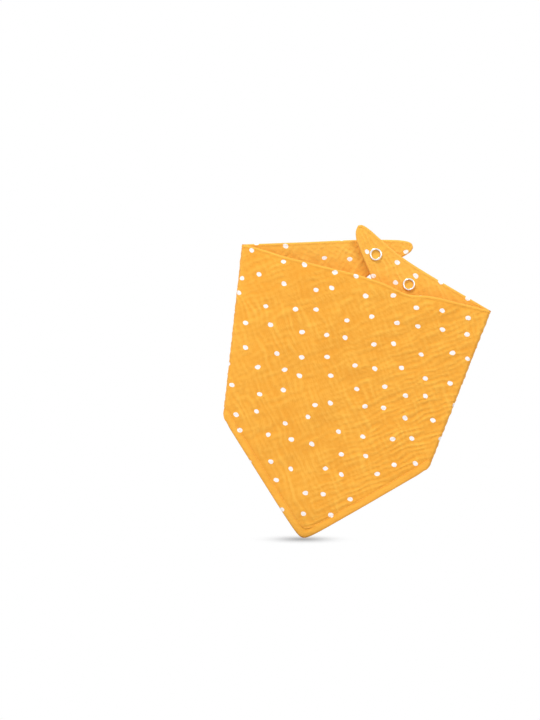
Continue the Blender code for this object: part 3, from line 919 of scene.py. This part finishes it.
LAMPS = [  # name, place, size, watts
    ("key", (-1.5, -1.25, 1.9), (0.6, 0.6), 57.0),
    ("fill", (1.3, -1.9, 0.9), (1.2, 1.2), 19.5),
    ("back", (0.3, 1.9, 1.3), (1.4, 1.0), 26.0),
]


def studio():
    scene = bpy.context.scene
    scene.view_settings.view_transform = "Standard"
    scene.view_settings.look = "None"
    camera()
    soft_room()
    lamps()
    ground()


def camera():
    """A long lens, level with the bib and turned so that the bib leans."""
    lens = bpy.data.cameras.new("camera")
    lens.lens, lens.sensor_width = CAMERA_LENS, CAMERA_SENSOR
    lens.clip_start, lens.clip_end = 0.05, 60.0
    obj = bpy.data.objects.new("camera", lens)
    bpy.context.collection.objects.link(obj)
    turn = Matrix((VIEW_RIGHT, VIEW_UP, VIEW_BACK)).transposed().to_4x4()
    obj.matrix_world = Matrix.Translation(AIM + VIEW_BACK * CAMERA_DISTANCE) @ turn
    bpy.context.scene.camera = obj


def soft_room():
    """White where it is seen, a pale tent where metal mirrors it, and soft light from above elsewhere."""
    world = bpy.data.worlds.new("soft_room")
    bpy.context.scene.world = world
    world.use_nodes = True
    tree = world.node_tree
    tree.nodes.clear()

    def light(colour, strength):
        made = tree.nodes.new("ShaderNodeBackground")
        made.inputs["Color"].default_value, made.inputs["Strength"].default_value = colour, strength
        return made

    def either(ray, one, other):
        made = tree.nodes.new("ShaderNodeMixShader")
        tree.links.new(path.outputs[ray], made.inputs[0])
        tree.links.new(one.outputs[0], made.inputs[1])
        tree.links.new(other.outputs[0], made.inputs[2])
        return made

    path = tree.nodes.new("ShaderNodeLightPath")
    room = light(WHITE, ROOM_LIGHT)
    where = tree.nodes.new("ShaderNodeTexCoord")
    split = tree.nodes.new("ShaderNodeSeparateXYZ")
    rise = tree.nodes.new("ShaderNodeMapRange")
    rise.inputs["From Min"].default_value, rise.inputs["From Max"].default_value = -1.0, 1.0
    ramp = tree.nodes.new("ShaderNodeValToRGB")
    stops = ramp.color_ramp.elements
    stops[0].position, stops[0].color = 0.0, ROOM_LOW
    stops[1].position, stops[1].color = 1.0, WHITE
    stops.new(0.46).color = ROOM_MIDDLE
    tree.links.new(where.outputs["Generated"], split.inputs[0])
    tree.links.new(split.outputs["Z"], rise.inputs["Value"])
    tree.links.new(rise.outputs[0], ramp.inputs[0])
    tree.links.new(ramp.outputs[0], room.inputs["Color"])
    mirrored = either("Is Glossy Ray", room, light(TENT_WHITE, TENT_LIGHT))
    output = tree.nodes.new("ShaderNodeOutputWorld")
    tree.links.new(either("Is Camera Ray", mirrored, light(WHITE, 1.0)).outputs[0], output.inputs[0])


def lamps():
    for name, place, size, power in LAMPS:
        data = bpy.data.lights.new(name, "AREA")
        data.shape, data.size, data.size_y, data.energy = "RECTANGLE", size[0], size[1], power
        lamp = bpy.data.objects.new(name, data)
        bpy.context.collection.objects.link(lamp)
        lamp.location = place
        lamp.rotation_euler = (LAMP_AIM - Vector(place)).to_track_quat("-Z", "Y").to_euler()


def ground():
    """A floor that throws light up but isn't seen, and a soft shade where the tip rests."""
    floor = Finish("white_floor")
    seen = floor.node("ShaderNodeLightPath")
    floor.done(Base_Color=FLOOR_GREY, Roughness=0.9, Emission_Color=WHITE,
               Emission_Strength=FLOOR_SPILL, Specular_IOR_Level=0.0, Alpha=1.0 - seen)
    sheet_of_stage("floor", FLOOR_HALF, Matrix.Translation((0.0, 0.0, TIP_Z - FLOOR_DROP)), floor.material)

    # the shade is on a clear sheet that is level in the front view
    tip = Vector((0.0, 0.0, TIP_Z)) - VIEW_UP * FLOOR_GAP
    shade = Finish("tip_shade")
    x, y, z = shade.split(shade.node("ShaderNodeTexCoord", output=3))
    beside = (x * VIEW_RIGHT.x + z * VIEW_RIGHT.z - VIEW_RIGHT.dot(tip)) / TIP_SHADE[0]
    before = y / TIP_SHADE[1]
    near_tip = shade.ranged((beside * beside + before * before) ** 0.5, 0.0, 1.0, 1.0, 0.0)
    shade.done(Base_Color=SHADE_GREY, Roughness=1.0, Alpha=near_tip ** 3 * SHADE_DEPTH,
               Specular_IOR_Level=0.0)
    level = Matrix((VIEW_RIGHT, -VIEW_BACK, VIEW_UP)).transposed().to_4x4()
    sheet_of_stage("tip_shade", max(TIP_SHADE), Matrix.Translation(tip) @ level, shade.material)


def sheet_of_stage(name, half, place, finish):
    bm = bmesh.new()
    bmesh.ops.create_grid(bm, x_segments=8, y_segments=8, size=half)
    bmesh.ops.transform(bm, verts=bm.verts[:], matrix=place)
    as_object(name, bm, finish)


# ---------------------------------------------------------------- the whole bib

def main():
    outer = muslin("outer_gauze", (5.547, 5.067), OUTER_YELLOW, OUTER_DEEP, OUTER_DOTS)
    lining = muslin("lining_gauze", (0.07, 0.43), LINING_YELLOW, LINING_DEEP, LINING_DOTS)
    thread = thread_finish()
    plated = chrome("bright_chrome", (0.92, 0.90, 0.89, 1.0), 0.2)
    wire = chrome("spring_steel", (0.62, 0.62, 0.63, 1.0), 0.28)
    fleece = fleece_finish()

    front_cloth([outer, lining])
    front_fleece(fleece)
    front_stitches(thread)

    closed, spare = snap_centre("closed_snap_ring"), snap_centre("spare_snap_ring")
    right = Strap("right_strap", 1, RIGHT_LOWER_EDGE, RIGHT_NECK_EDGE, RIGHT_RISE, RIGHT_FLAT,
                  [closed, spare], RIGHT_SEED)
    left = Strap("left_strap", -1, LEFT_LOWER_EDGE, LEFT_NECK_EDGE, LEFT_RISE, LEFT_FLAT,
                 [closed], LEFT_SEED)
    for strap in (right, left):
        strap.cloth([outer, lining])
        strap.fleece(fleece)
        strap.stitches(thread)

    for node in ("closed_snap_ring", "spare_snap_ring"):
        open_ring(node, "right_strap", -1, plated)
    open_ring("outer_snap_ring", "left_strap", 1, plated)
    for which in ("closed_snap", "spare_snap"):
        snap_socket(which + "_socket", "right_strap", plated)
        snap_spring(which + "_spring", "right_strap", wire)
    snap_stud("outer_snap_stud", "left_strap", plated)
    studio()


main()
